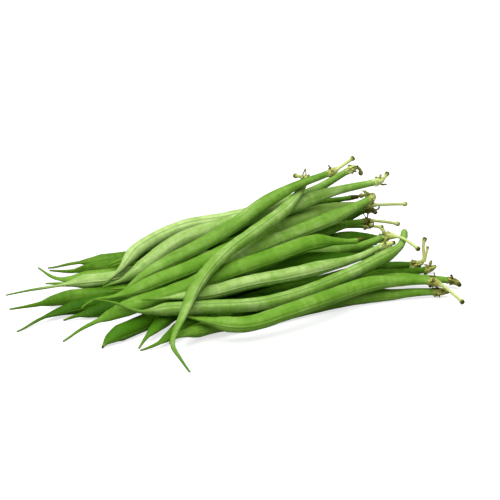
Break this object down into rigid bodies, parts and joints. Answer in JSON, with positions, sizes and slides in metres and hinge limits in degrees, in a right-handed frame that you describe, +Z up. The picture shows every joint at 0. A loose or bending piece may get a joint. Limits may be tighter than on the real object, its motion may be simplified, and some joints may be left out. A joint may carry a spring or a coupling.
{
  "type": "green bean bundle",
  "caption": "Loose bundle of fresh green beans lying on a flat surface, stalks gathered at one end and thin beaks fanned out at the other.",
  "frame": {"origin": "middle of the bundle's footprint, on the surface that it lies on", "axes": "+X along the beans towards their stalks, -X towards their beaks, -Y towards the front, +Z up"},
  "size_m": [0.2213, 0.1471, 0.0628],
  "materials": {
    "pale_skin": "satin waxy bean skin, pale yellow-green",
    "green_skin": "satin waxy bean skin, middle green",
    "deep_skin": "satin waxy bean skin, deep green"
  },
  "bodies": {
    "root": {"bean_top": "pale_skin", "bean_crossing": "pale_skin", "bean_crest": "pale_skin", "bean_shoulder": "pale_skin", "bean_middle_long": "green_skin", "bean_middle_cap": "pale_skin", "bean_middle_front": "green_skin", "bean_middle_low": "pale_skin", "bean_middle_second": "pale_skin", "bean_middle_shade": "deep_skin", "bean_dark_cap": "deep_skin", "bean_long_stalk": "green_skin", "bean_behind_caps": "deep_skin", "bean_under_middle": "green_skin", "bean_upright_stalk": "deep_skin", "bean_right_second": "deep_skin", "bean_right_third": "green_skin", "bean_front_hooked": "pale_skin", "bean_front_low": "green_skin", "bean_front_base": "green_skin", "bean_left_blunt": "green_skin", "bean_left_shade": "deep_skin", "bean_left_reach": "deep_skin", "bean_left_low": "deep_skin", "bean_left_long": "pale_skin", "bean_back_low": "green_skin", "bean_back_tail": "green_skin", "bean_back_second": "deep_skin", "bean_back_table": "deep_skin", "bean_rear_low": "green_skin", "bean_rear_middle": "green_skin", "bean_rear_high": "green_skin", "bean_rear_under": "green_skin"}
  },
  "joints": []
}
